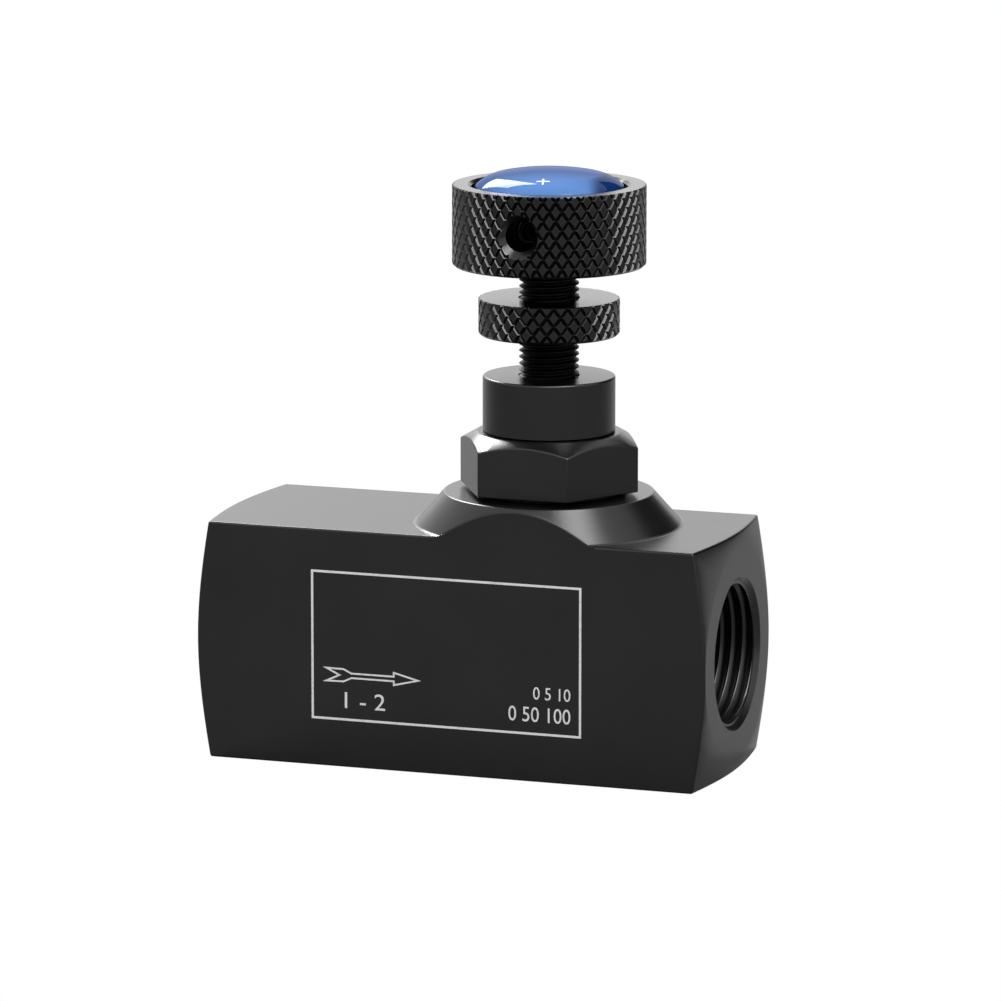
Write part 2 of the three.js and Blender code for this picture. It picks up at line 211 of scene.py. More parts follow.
def arc(centre, radius, start, end, steps):
    """Points of an arc in an outline, from one angle to the other, in degrees."""
    turn = [math.radians(start + (end - start) * i / steps) for i in range(steps + 1)]
    return [(centre[0] + radius * math.cos(a), centre[1] + radius * math.sin(a)) for a in turn]


def lay_along_x(piece, facing=1):
    """Turns a piece made along Z at the origin until it lies along X, and lifts it to the ports."""
    pick(piece)
    piece.rotation_euler = (0, facing * math.pi / 2, 0)
    piece.location = (0, 0, port_height)
    bpy.ops.object.transform_apply(location=True, rotation=True, scale=False)


def shape_with(piece, tool, operation):
    """Joins, cuts or trims a piece with a tool solid, which is used up."""
    pick(piece)
    bpy.ops.object.modifier_add(type="BOOLEAN")
    modifier = piece.modifiers[-1]
    modifier.operation = operation
    modifier.solver = "EXACT"
    modifier.object = tool
    bpy.ops.object.modifier_apply(modifier=modifier.name)
    bpy.data.objects.remove(tool)


def break_edges(piece, width, steps=3, angle=30):
    """Rounds every edge sharper than the angle, as a file or a tumbling barrel does."""
    pick(piece)
    bpy.ops.object.modifier_add(type="BEVEL")
    bevel = piece.modifiers[-1]
    bevel.width = width * MM
    bevel.segments = steps
    bevel.limit_method = "ANGLE"
    bevel.angle_limit = math.radians(angle)
    bevel.use_clamp_overlap = True
    bpy.ops.object.modifier_apply(modifier=bevel.name)


def smooth(piece, angle=30):
    """Smooth shading that stays flat on flat faces and crisp at sharp edges."""
    pick(piece)
    bpy.ops.object.shade_smooth_by_angle(angle=math.radians(angle), keep_sharp_edges=True)
    bpy.ops.object.modifier_add(type="WEIGHTED_NORMAL")
    weighted = piece.modifiers[-1]
    weighted.keep_sharp = True
    bpy.ops.object.modifier_apply(modifier=weighted.name)


def box_piece(name, low, high):
    """A block between two corners, in metres."""
    deselect()
    middle = (Vector(low) + Vector(high)) / 2
    size = Vector(high) - Vector(low)
    bpy.ops.mesh.primitive_cube_add(size=1, location=middle, scale=size)
    piece = bpy.context.object
    piece.name = name
    bpy.ops.object.transform_apply(location=True, rotation=False, scale=True)
    return piece


def close_ends(piece, middle):
    """Closes the open ends of a piece in edit mode, and moves it along X to its axis."""
    bpy.ops.mesh.select_all(action="DESELECT")
    bpy.ops.mesh.select_non_manifold()
    bpy.ops.mesh.fill_holes(sides=0)
    bpy.ops.mesh.select_all(action="SELECT")
    bpy.ops.mesh.normals_make_consistent(inside=False)
    bpy.ops.object.mode_set(mode="OBJECT")
    piece.location = (middle, 0, 0)
    bpy.ops.object.transform_apply(location=True, rotation=False, scale=False)


def threaded_bar(name, crest, root, pitch, low, high, middle, steps=72):
    """A bar with a right-hand V thread, made as one groove wound up the bar and cut off square
    at both heights. All sizes are in millimetres, and the crest and root are radii."""
    deselect()
    crest_flat, root_flat, corner = pitch / 8, pitch / 6, 0.06 * pitch
    start = low - 2 * pitch
    bpy.ops.mesh.primitive_circle_add(vertices=7, radius=1)
    piece = bpy.context.object
    piece.name = name
    bpy.ops.object.mode_set(mode="EDIT")
    bpy.ops.mesh.select_mode(type="EDGE")
    bpy.ops.object.mode_set(mode="OBJECT")
    flank = (pitch - crest_flat - root_flat) / 2
    slant = math.hypot(flank, crest - root)
    rise, run = corner * flank / slant, corner * (crest - root) / slant
    heights = (
        corner, root_flat - corner, root_flat + rise, root_flat + flank,
        root_flat + flank + crest_flat, pitch - rise, pitch + corner,
    )
    radii = (root, root, root + run, crest, crest, root + run, root)
    for vertex, radius, height in zip(piece.data.vertices, radii, heights):
        vertex.co = (radius * MM, 0, (start + height) * MM)
    for edge in piece.data.edges:
        edge.select = set(edge.vertices) == {0, 6}
    bpy.ops.object.mode_set(mode="EDIT")
    bpy.ops.mesh.delete(type="EDGE")
    bpy.ops.object.mode_set(mode="OBJECT")
    bpy.ops.object.modifier_add(type="SCREW")
    screw = piece.modifiers[-1]
    screw.axis = "Z"
    screw.screw_offset = pitch * MM
    screw.iterations = math.ceil((high - low) / pitch) + 4
    screw.steps = screw.render_steps = steps
    bpy.ops.object.modifier_apply(modifier=screw.name)
    bpy.ops.object.mode_set(mode="EDIT")
    bpy.ops.mesh.select_all(action="SELECT")
    bpy.ops.mesh.remove_doubles(threshold=0.001 * MM)
    off_the_grid = 0.0037
    for height, outer in ((low, False), (high, True)):
        bpy.ops.mesh.select_all(action="SELECT")
        bpy.ops.mesh.bisect(
            plane_co=(0, 0, (height + off_the_grid) * MM),
            plane_no=(0, 0, 1),
            clear_inner=not outer,
            clear_outer=outer,
            threshold=1e-7,
        )
    close_ends(piece, middle)
    return piece


ring_edge, end_slope, bar_reach, point = 12.3, 0.2319, 20, 3
half_length = port_face / MM
shoulder = half_length - end_slope * (bar_reach - ring_edge)
point_end = half_length + end_slope * (ring_edge - point)
valve_body = turned_piece(
    "valve_block",
    [(point, -point_end), (bar_reach, -shoulder), (bar_reach, shoulder), (point, point_end)],
    sides=256,
    middle=0,
)
lay_along_x(valve_body)
far = 5 * MM
square_bar = box_piece(
    "square_bar",
    (body_low.x - far, body_low.y, 0),
    (port_face + far, body_high.y, block_height),
)
shape_with(valve_body, square_bar, "INTERSECT")
break_edges(valve_body, 0.3, steps=4, angle=35)
faced_length = box_piece(
    "faced_length",
    (body_low.x, body_low.y - far, -far),
    (port_face, body_high.y + far, block_height + far),
)
shape_with(valve_body, faced_length, "INTERSECT")

cone_foot, cone_mouth, fillet = 15.5, 12.15, 0.8
cone_rise = boss_top / MM - block_top
cone_slope = math.degrees(math.atan2(cone_rise, cone_foot - cone_mouth))
spread = (cone_foot - cone_mouth) / cone_rise
boss = turned_piece(
    "boss",
    [(cone_foot + 0.35 * spread, 27.65), (cone_mouth, boss_top / MM)],
    sides=256,
)
proud = 0.004 * MM
slab_low = Vector((body_low.x, body_low.y - proud, 0))
slab_high = Vector((body_high.x, body_high.y + proud, boss_top + MM))
shape_with(boss, box_piece("slab", slab_low, slab_high), "INTERSECT")
break_edges(boss, 0.2, steps=3, angle=35)
shape_with(valve_body, boss, "UNION")
tangent = fillet * math.tan(math.radians(cone_slope / 2))
foot_fillet = turned_piece(
    "foot_fillet",
    [(cone_foot - 1, 27.5), (cone_foot + tangent, 27.5)]
    + arc((cone_foot + tangent, 28 - 0.005 + fillet), fillet, 270, 270 - cone_slope, 8)
    + [(cone_foot - 1, 28.6)],
    sides=256,
    hollow=True,
)
slab_low.y += proud / 2
slab_high.y -= proud / 2
shape_with(foot_fillet, box_piece("slab", slab_low, slab_high), "INTERSECT")
shape_with(valve_body, foot_fillet, "UNION")

port_crest, port_root, port_pitch, port_taper = 7.85, 8.5, 1.337, 32
port_bottom, past_port = 18, 32
passage_radius, passage_offset = 2.9, 4.5
for facing in (1, -1):
    thread = threaded_bar(
        "port_thread", port_root, port_crest, port_pitch, port_bottom, past_port, 0, steps=96
    )
    for vertex in thread.data.vertices:
        deep = 1 - (half_length - vertex.co.z / MM) / port_taper / port_root
        vertex.co.x *= deep
        vertex.co.y *= deep
    lay_along_x(thread, facing)
    shape_with(valve_body, thread, "DIFFERENCE")
    mouth = turned_piece("mouth", [(8.42, 30.45), (9.97, past_port)], middle=0)
    lay_along_x(mouth, facing)
    shape_with(valve_body, mouth, "DIFFERENCE")
    passage_outline = [(passage_radius, 8 * facing), (passage_radius, port_bottom + 1)]
    passage = turned_piece("passage", passage_outline, sides=64, middle=0)
    lay_along_x(passage, facing)
    passage.location = (0, 0, facing * passage_offset * MM)
    bpy.ops.object.transform_apply(location=True, rotation=False, scale=False)
    shape_with(valve_body, passage, "DIFFERENCE")
bore = turned_piece(
    "stepped_bore",
    [
        (6.4, -0.2), (6.0, 0.2), (6.0, 5.5), (5.2, 5.5), (5.2, 14.8), (4, 14.8), (4, 15.6),
        (5.5, 15.6), (5.5, 21.6), (7, 21.6), (7, 25.4), (8, 25.4), (8, 33),
    ],
)
shape_with(valve_body, bore, "DIFFERENCE")
smooth(valve_body)

wear_width, worn_grey = 0.25, (0.16, 0.16, 0.165, 1)


def blackened_steel(name, tone, gloss, grain, grain_depth):
    """Blackened metal: a dark mirror under a fine satin grain. It is dark face on and bright at
    a glancing angle. The blacking is a little uneven and rubbed thin along the edges."""
    finish, nodes, links, shader = new_finish(name)
    shader.inputs["Metallic"].default_value = 1.0
    place = nodes.new("ShaderNodeTexCoord")
    cloud = nodes.new("ShaderNodeTexNoise")
    cloud.inputs["Scale"].default_value = 90
    cloud.inputs["Detail"].default_value = 5
    links.new(place.outputs["Object"], cloud.inputs["Vector"])
    tint = nodes.new("ShaderNodeValToRGB")
    tint.color_ramp.elements[0].position = 0.3
    tint.color_ramp.elements[0].color = (tone * 0.95, tone * 0.95, tone * 0.96, 1)
    tint.color_ramp.elements[1].position = 0.7
    tint.color_ramp.elements[1].color = (tone * 1.05, tone * 1.05, tone * 1.06, 1)
    links.new(cloud.outputs["Fac"], tint.inputs["Fac"])

    edge = nodes.new("ShaderNodeBevel")
    edge.samples = 4
    edge.inputs["Radius"].default_value = wear_width * MM
    flat = nodes.new("ShaderNodeNewGeometry")
    match = nodes.new("ShaderNodeVectorMath")
    match.operation = "DOT_PRODUCT"
    links.new(edge.outputs["Normal"], match.inputs[0])
    links.new(flat.outputs["Normal"], match.inputs[1])
    worn = nodes.new("ShaderNodeMapRange")
    worn.inputs["From Min"].default_value = 0.98
    worn.inputs["From Max"].default_value = 0.88
    worn.inputs["To Min"].default_value = 0.0
    worn.inputs["To Max"].default_value = 0.35
    links.new(match.outputs["Value"], worn.inputs["Value"])
    rubbed = nodes.new("ShaderNodeMath")
    rubbed.operation = "MULTIPLY"
    links.new(worn.outputs["Result"], rubbed.inputs[0])
    links.new(cloud.outputs["Fac"], rubbed.inputs[1])
    colour = nodes.new("ShaderNodeMix")
    colour.data_type = "RGBA"
    colour.inputs["B"].default_value = worn_grey
    links.new(rubbed.outputs["Value"], colour.inputs["Factor"])
    links.new(tint.outputs["Color"], colour.inputs["A"])
    links.new(colour.outputs["Result"], shader.inputs["Base Color"])

    fine = nodes.new("ShaderNodeTexNoise")
    fine.inputs["Scale"].default_value = grain
    fine.inputs["Detail"].default_value = 3
    links.new(place.outputs["Object"], fine.inputs["Vector"])
    rough = nodes.new("ShaderNodeMapRange")
    rough.inputs["To Min"].default_value = gloss - 0.02
    rough.inputs["To Max"].default_value = gloss + 0.02
    links.new(cloud.outputs["Fac"], rough.inputs["Value"])
    links.new(rough.outputs["Result"], shader.inputs["Roughness"])
    bump = nodes.new("ShaderNodeBump")
    bump.inputs["Strength"].default_value = grain_depth
    bump.inputs["Distance"].default_value = 0.01 * MM
    links.new(fine.outputs["Fac"], bump.inputs["Height"])
    links.new(bump.outputs["Normal"], shader.inputs["Normal"])
    return finish


black_steel = blackened_steel("black_oxide", 0.037, 0.28, 9000, 0.5)


def dress(piece, finish, slot, body, *replaced):
    """Gives a finished piece its material and its body, and hides the CAD nodes that it stands for."""
    piece.data.materials.clear()
    piece.data.materials.append(finish)
    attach(piece, body)
    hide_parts(*replaced)


dress(valve_body, black_steel, "black_steel", "housing", "valve_body")

# ---------------------------------------------------------------------------------------------
# Marking: a frame, a flow arrow and a few numerals, printed in pale grey on the front of the
# block over the blacking.
# ---------------------------------------------------------------------------------------------
front = body_low.y
ink_lift = 0.02 * MM


def upright_plane(name, low_x, low_z, high_x, high_z):
    """A flat sheet that stands on the front of the block, in millimetres along X and Z."""
    deselect()
    middle = ((low_x + high_x) / 2 * MM, 0, (low_z + high_z) / 2 * MM)
    bpy.ops.mesh.primitive_plane_add(size=1, location=middle, rotation=(math.pi / 2, 0, 0))
    sheet = bpy.context.object
    sheet.name = name
    sheet.scale = ((high_x - low_x) * MM, (high_z - low_z) * MM, 1)
    bpy.ops.object.transform_apply(location=True, rotation=True, scale=True)
    return sheet


def join(name, pieces):
    """Joins pieces into one object."""
    deselect()
    for piece in pieces:
        piece.select_set(True)
    bpy.context.view_layer.objects.active = pieces[0]
    bpy.ops.object.join()
    pieces[0].name = name
    return pieces[0]


def ink_layer(piece):
    """Gives a flat outline the thickness of ink and sets it on the front face."""
    pick(piece)
    bpy.ops.object.modifier_add(type="SOLIDIFY")
    piece.modifiers[-1].thickness = 2 * ink_lift
    piece.modifiers[-1].offset = 0
    bpy.ops.object.modifier_apply(modifier=piece.modifiers[-1].name)
    piece.location = (0, front, 0)
    bpy.ops.object.transform_apply(location=True, rotation=False, scale=False)


frame_left, frame_right, frame_low, frame_high, line = -16.78, 16.18, 5.55, 23.16, 0.27
bars = [
    upright_plane("bar", frame_left, frame_high - line, frame_right, frame_high),
    upright_plane("bar", frame_left, frame_low, frame_right, frame_low + line),
    upright_plane("bar", frame_left, frame_low + line, frame_left + line, frame_high - line),
    upright_plane("bar", frame_right - line, frame_low + line, frame_right, frame_high - line),
]
printed_frame = join("printed_frame", bars)
ink_layer(printed_frame)

arrow_middle = 10.91
arrow_half = [(-15.39, 0.86), (-12.8, 0.83), (-11.84, 0.37), (-6.73, 0.37), (-6.73, 0.86), (-3.28, 0)]
arrow_outline = arrow_half + [(x, -z) for x, z in reversed(arrow_half[:-1])] + [(-13.56, 0)]
deselect()
bpy.ops.mesh.primitive_circle_add(vertices=len(arrow_outline), radius=1, fill_type="NGON")
printed_arrow = bpy.context.object
printed_arrow.name = "printed_arrow"
for vertex, (x, z) in zip(printed_arrow.data.vertices, arrow_outline):
    vertex.co = (x * MM, 0, (arrow_middle + z) * MM)
bpy.ops.object.mode_set(mode="EDIT")
bpy.ops.mesh.select_mode(type="FACE")
bpy.ops.mesh.select_all(action="SELECT")
bpy.ops.mesh.inset(thickness=0.2 * MM, use_even_offset=True)
bpy.ops.mesh.delete(type="FACE")
bpy.ops.object.mode_set(mode="OBJECT")
ink_layer(printed_arrow)


def printed_numerals(name, text, size, right, low, stretch=0.86):
    """A row of numerals in ink, set by its lower right-hand corner."""
    deselect()
    bpy.ops.object.text_add(rotation=(math.pi / 2, 0, 0))
    row = bpy.context.object
    row.name = name
    row.data.body = text
    row.data.size = size * MM
    row.data.align_x = "RIGHT"
    row.data.resolution_u = 4
    bpy.ops.object.convert(target="MESH")
    row = bpy.context.object
    row.location = (right * MM, 0, low * MM)
    row.scale = (stretch, 1, 1)
    bpy.ops.object.transform_apply(location=True, rotation=True, scale=True)
    bpy.ops.object.mode_set(mode="EDIT")
    bpy.ops.mesh.select_all(action="SELECT")
    bpy.ops.mesh.remove_doubles(threshold=0.001 * MM)
    bpy.ops.object.mode_set(mode="OBJECT")
    ink_layer(row)
    return row


numerals = [
    printed_numerals("port_numerals", "1 - 2", 2.75, -7.6, 7.05, stretch=1.1),
    printed_numerals("upper_numerals", "0 5 10", 2.1, 14.93, 9.75),
    printed_numerals("lower_numerals", "0 50 100", 2.5, 14.95, 7.1),
]


def speckled_finish(name, speck_size, colours, gloss, depth, detail=4):
    """A printed or moulded finish. Fine specks move its colour and its roughness between the two
    ends given and raise it by a depth in millimetres."""
    finish, nodes, links, shader = new_finish(name)
    place = nodes.new("ShaderNodeTexCoord")
    speck = nodes.new("ShaderNodeTexNoise")
    speck.inputs["Scale"].default_value = speck_size
    speck.inputs["Detail"].default_value = detail
    tint = nodes.new("ShaderNodeValToRGB")
    for element, colour in zip(tint.color_ramp.elements, colours):
        element.color = (*colour, 1)
    rough = nodes.new("ShaderNodeMapRange")
    rough.inputs["To Min"].default_value, rough.inputs["To Max"].default_value = gloss
    relief = nodes.new("ShaderNodeBump")
    relief.inputs["Distance"].default_value = depth * MM
    links.new(place.outputs["Object"], speck.inputs["Vector"])
    links.new(speck.outputs["Fac"], tint.inputs["Fac"])
    links.new(tint.outputs["Color"], shader.inputs["Base Color"])
    links.new(speck.outputs["Fac"], rough.inputs["Value"])
    links.new(rough.outputs["Result"], shader.inputs["Roughness"])
    links.new(speck.outputs["Fac"], relief.inputs["Height"])
    links.new(relief.outputs["Normal"], shader.inputs["Normal"])
    return finish


ink_greys = ((0.34, 0.34, 0.34), (0.45, 0.45, 0.45))
pale_ink = speckled_finish("pale_ink", 2500, ink_greys, (0.55, 0.55), 0.004)
ink_ramp = pale_ink.node_tree.nodes["Color Ramp"].color_ramp.elements
ink_ramp[0].position, ink_ramp[1].position = 0.25, 0.5
for marking in [printed_frame, printed_arrow] + numerals:
    dress(marking, pale_ink, "white_polymer", "housing")

# ---------------------------------------------------------------------------------------------
# Seat ring: a hardened ring with a ground edge, pressed up against the shoulder of the check
# bore. The check poppet shuts on its lower edge.
# ---------------------------------------------------------------------------------------------
def bright_steel(name, tone, gloss, grain):
    """Ground or drawn steel with fine concentric tool marks about the spindle's axis."""
    finish, nodes, links, shader = new_finish(name)
    shader.inputs["Metallic"].default_value = 1.0
    place = nodes.new("ShaderNodeTexCoord")
    centre = nodes.new("ShaderNodeMapping")
    centre.inputs["Location"].default_value = (-stem_x, 0, 0)
    rings = nodes.new("ShaderNodeTexWave")
    rings.wave_type = "RINGS"
    rings.rings_direction = "Z"
    rings.inputs["Scale"].default_value = grain
    rings.inputs["Distortion"].default_value = 3
    rings.inputs["Detail"].default_value = 3
    cloud = nodes.new("ShaderNodeTexNoise")
    cloud.inputs["Scale"].default_value = 500
    tint = nodes.new("ShaderNodeValToRGB")
    tint.color_ramp.elements[0].color = (tone * 0.8, tone * 0.8, tone * 0.82, 1)
    tint.color_ramp.elements[1].color = (tone, tone, tone, 1)
    rough = nodes.new("ShaderNodeMapRange")
    rough.inputs["To Min"].default_value = gloss - 0.06
    rough.inputs["To Max"].default_value = gloss + 0.06
    relief = nodes.new("ShaderNodeBump")
    relief.inputs["Strength"].default_value = 0.3
    relief.inputs["Distance"].default_value = 0.01 * MM
    links.new(place.outputs["Object"], centre.inputs["Vector"])
    links.new(centre.outputs["Vector"], rings.inputs["Vector"])
    links.new(place.outputs["Object"], cloud.inputs["Vector"])
    links.new(cloud.outputs["Fac"], tint.inputs["Fac"])
    links.new(tint.outputs["Color"], shader.inputs["Base Color"])
    links.new(rings.outputs["Fac"], rough.inputs["Value"])
    links.new(rough.outputs["Result"], shader.inputs["Roughness"])
    links.new(rings.outputs["Fac"], relief.inputs["Height"])
    links.new(relief.outputs["Normal"], shader.inputs["Normal"])
    return finish


ground_steel = bright_steel("ground_steel", 0.55, 0.28, 900)
seat_ring = turned_piece("valve_seat", [(3.4, 13), (5.1, 13), (5.1, 14.7), (3.4, 14.7)], hollow=True)
break_edges(seat_ring, 0.12)
smooth(seat_ring)
dress(seat_ring, ground_steel, "ground_steel", "housing", "seat_ring")

# ---------------------------------------------------------------------------------------------
# Check poppet: a turned cup with a conical head and the metering orifice through it. Three
# flats milled on its guide let oil past.
# ---------------------------------------------------------------------------------------------
poppet = turned_piece(
    "check_cup",
    [
        (3.3, 9.5), (5, 9.5), (5, 11.4), (4.3, 11.4), (4.3, 11.9), (3, 13.2), (3, 14.4),
        (1.9, 14.4), (1.5, 14.0), (1.5, 11.3), (3.3, 11.3),
    ],
    hollow=True,
)
for turn in (0, 120, 240):
    cutter = box_piece("flat_cutter", (4 * MM, -6 * MM, 8 * MM), (6 * MM, 6 * MM, 11.5 * MM))
    cutter.rotation_euler = (0, 0, math.radians(turn))
    cutter.location = (stem_x, 0, 0)
    bpy.ops.object.transform_apply(location=True, rotation=True, scale=False)
    shape_with(poppet, cutter, "DIFFERENCE")
break_edges(poppet, 0.06, steps=2)
smooth(poppet)
dress(poppet, ground_steel, "ground_steel", "poppet", "check_poppet")

# ---------------------------------------------------------------------------------------------
# Check spring: hard-drawn wire coiled on a mandrel, four turns, its ends ground flat. It stands
# in the plug and pushes the poppet up.
# ---------------------------------------------------------------------------------------------
spring_low, spring_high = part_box("check_spring")
wire_radius, coil_radius, coil_turns = 0.28, 2.75, 4
coil_rise = (spring_high.z - spring_low.z) / MM - 2 * wire_radius
deselect()
bpy.ops.mesh.primitive_circle_add(
    vertices=12,
    radius=wire_radius * MM,
    location=(coil_radius * MM, 0, spring_low.z + wire_radius * MM),
    rotation=(math.pi / 2, 0, 0),
)
check_spring = bpy.context.object
check_spring.name = "check_coil"
bpy.ops.object.transform_apply(location=True, rotation=True, scale=False)
bpy.ops.object.modifier_add(type="SCREW")
coil = check_spring.modifiers[-1]
coil.axis = "Z"
coil.screw_offset = coil_rise / coil_turns * MM
coil.iterations = coil_turns
coil.steps = coil.render_steps = 48
bpy.ops.object.modifier_apply(modifier=coil.name)
bpy.ops.object.mode_set(mode="EDIT")
bpy.ops.mesh.select_all(action="SELECT")
bpy.ops.mesh.remove_doubles(threshold=0.001 * MM)
close_ends(check_spring, stem_x)
smooth(check_spring, 60)
spring_wire = bright_steel("spring_wire", 0.5, 0.3, 1500)
dress(check_spring, spring_wire, "spring_steel", "housing", "check_spring")
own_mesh(check_spring)

# ---------------------------------------------------------------------------------------------
# Bottom plug and its o-ring: a blackened M12 x 1 screw plug with a hexagon socket, screwed in
# flush with the underside. It closes the check bore and carries the spring.
# ---------------------------------------------------------------------------------------------
def socket_cutter(across, low, high, middle=stem_x):
    """A hexagon socket's cutter, along Z, with a corner towards +X."""
    corner = across / math.sqrt(3)
    cutter = turned_piece("socket_cutter", [(corner, low), (corner, high)], sides=6, middle=0)
    cutter.rotation_euler = (0, 0, math.radians(30))
    cutter.location = (middle, 0, 0)
    bpy.ops.object.transform_apply(location=True, rotation=True, scale=False)
    return cutter


bottom_plug = turned_piece(
    "screw_plug",
    [
        (5.5, 0.3), (5.9, 0.7), (5.9, 1.2), (5.2, 1.3), (5.2, 5.2), (5.1, 5.4), (5.1, 5.8),
        (4.2, 5.8), (4.2, 7.0), (5.1, 7.0), (5.1, 7.4), (3.3, 7.4), (3.3, 6.6),
    ],
)
plug_thread = threaded_bar("plug_thread", 5.9, 5.3, 1.0, 1.25, 5.25, stem_x)
shape_with(bottom_plug, plug_thread, "UNION")
shape_with(bottom_plug, socket_cutter(5, -0.7, 2.9), "DIFFERENCE")
socket_mouth = turned_piece("socket_mouth", [(3.3, -0.1), (2.5, 0.7)])
shape_with(bottom_plug, socket_mouth, "DIFFERENCE")
smooth(bottom_plug)
dress(bottom_plug, black_steel, "black_steel", "housing", "bottom_plug")

rubber_black = (0.012, 0.012, 0.012)
seal_rubber = speckled_finish("seal_rubber", 3000, (rubber_black, rubber_black), (0.5, 0.8), 0.01)


def o_ring(name, centre_radius, section, height, body, replaced):
    """A moulded o-ring of round section."""
    points = 24
    outline = arc((centre_radius, height), section, -180, 180 - 360 / points, points - 1)
    ring = turned_piece(name, outline, sides=96, hollow=True)
    smooth(ring, 60)
    dress(ring, seal_rubber, "seal_rubber", body, replaced)


o_ring("plug_seal", 4.7, 0.46, 6.4, "housing", "bottom_plug_o_ring")

# ---------------------------------------------------------------------------------------------
# Bonnet: a hexagon with a round collar above it and a threaded shank below, turned from bar and
# blackened, with its washer, o-ring and back-up ring. It screws into the boss.
# ---------------------------------------------------------------------------------------------
hex_across, hex_low, hex_high, ledge_radius = 18.85, 32.2, 38.85, 8.35
collar_radius, collar_top = 7.675, 45.35
hex_radius = hex_across / math.sqrt(3)
hex_outline = [(hex_radius, hex_low), (hex_radius, hex_high)]
bonnet = turned_piece("hexagon_bonnet", hex_outline, sides=6, middle=0)
bonnet.rotation_euler = (0, 0, math.radians(30))
bonnet.location = (stem_x, 0, 0)
bpy.ops.object.transform_apply(location=True, rotation=True, scale=False)
hex_corner = hex_radius + 0.5
chamfer_drop = (hex_corner - ledge_radius) * math.tan(math.radians(30))
chamfer_tool = turned_piece(
    "chamfer_tool",
    [(hex_corner, hex_low - 1), (hex_corner, hex_high - chamfer_drop), (ledge_radius, hex_high)],
    sides=256,
)
shape_with(bonnet, chamfer_tool, "INTERSECT")
break_edges(bonnet, 0.16, steps=3, angle=20)
collar = turned_piece(
    "collar",
    [(6.85, 25.6), (6.85, 38.9), (collar_radius - 0.1, 38.9), (collar_radius, 39.0)]
    + [(collar_radius, collar_top - 0.25)]
    + arc((collar_radius - 0.25, collar_top - 0.25), 0.25, 0, 90, 4)[1:]
    + [(3.62, collar_top)],
    sides=192,
)
shape_with(bonnet, collar, "UNION")
shank = threaded_bar("shank_thread", 7.9, 7.08, 1.5, 25.8, 32.3, stem_x, steps=96)
shape_with(bonnet, shank, "UNION")
nose = turned_piece(
    "nose",
    [(6.5, 21.9), (6.9, 22.3), (6.9, 22.7), (5.5, 22.7), (5.5, 24.9), (6.9, 24.9), (6.9, 26)],
)
shape_with(bonnet, nose, "UNION")
bore = turned_piece("bonnet_bore", [(4.9, 21.7), (4.6, 22.2), (4.6, 37), (3.57, 37), (3.57, 46)])
shape_with(bonnet, bore, "DIFFERENCE")
smooth(bonnet)
dress(bonnet, black_steel, "black_steel", "housing", "bonnet")

washer_outline = [(8.1, 31.85), (8.95, 31.85), (8.95, 32.15), (8.1, 32.15)]
washer = turned_piece("sealing_washer", washer_outline, hollow=True)
break_edges(washer, 0.05)
smooth(washer)
spindle_steel = blackened_steel("spindle_oxide", 0.0015, 0.45, 7000, 0.4)
dress(washer, spindle_steel, "spindle_steel", "housing", "bonnet_washer")
o_ring("bonnet_seal", 6.25, 0.66, 23.5, "housing", "bonnet_o_ring")

polymer_whites = ((0.7, 0.69, 0.64), (0.84, 0.83, 0.79))
white_polymer = speckled_finish("white_polymer", 1200, polymer_whites, (0.35, 0.6), 0.008)
shader = white_polymer.node_tree.nodes["Principled BSDF"]
shader.inputs["Subsurface Weight"].default_value = 0.1
shader.inputs["Subsurface Scale"].default_value = 0.3 * MM


def square_ring(name, inner, outer, low, high, body, replaced):
    """A flat ring turned from white polymer, its corners just broken."""
    outline = [(inner, low), (outer, low), (outer, high), (inner, high)]
    ring = turned_piece(name, outline, sides=96, hollow=True)
    break_edges(ring, 0.05, steps=2)
    smooth(ring)
    dress(ring, white_polymer, "white_polymer", body, replaced)


square_ring("bonnet_backup", 5.55, 6.9, 24.2, 24.8, "housing", "bonnet_backup_ring")

# ---------------------------------------------------------------------------------------------
# Spindle: turned from steel bar, with a rolled M7 x 0.75 thread, a land that carries its seals
# and a ground needle at the foot. A flat at the top takes the knob's set screw.
# ---------------------------------------------------------------------------------------------
thread_low, thread_high = 35.4, 58.0
spindle = turned_piece(
    "needle_spindle",
    [
        (0.2, 13.9), (0.4, 14.0), (2.2, 18.87), (2.8, 19.47), (2.8, 27.6), (4.3, 27.6), (4.5, 27.8),
        (4.5, 29.3), (3.3, 29.3), (3.3, 31.7), (4.5, 31.7), (4.5, 33.6), (4.3, 33.8), (3, 33.8),
        (3, 64.1), (2.6, 64.5),
    ],
)
rolled_thread = threaded_bar("rolled_thread", 3.46, 3.02, 0.75, thread_low, thread_high, stem_x)
shape_with(spindle, rolled_thread, "UNION")
screw_flat = box_piece(
    "flat_cutter",
    (stem_x - 4 * MM, -4 * MM, 60.9 * MM),
    (stem_x + 4 * MM, -2.6 * MM, 66 * MM),
)
shape_with(spindle, screw_flat, "DIFFERENCE")
smooth(spindle)
dress(spindle, spindle_steel, "spindle_steel", "spindle", "throttle_spindle")

# ---------------------------------------------------------------------------------------------
# Stem seals: an o-ring and a white polymer back-up ring in the spindle's groove. They slide in
# the bonnet's bore as the spindle rises.
# ---------------------------------------------------------------------------------------------
o_ring("stem_seal", 3.95, 0.58, 30.0, "stem_seals", "stem_o_ring")
square_ring("stem_backup", 3.36, 4.5, 30.9, 31.6, "stem_seals", "stem_backup_ring")

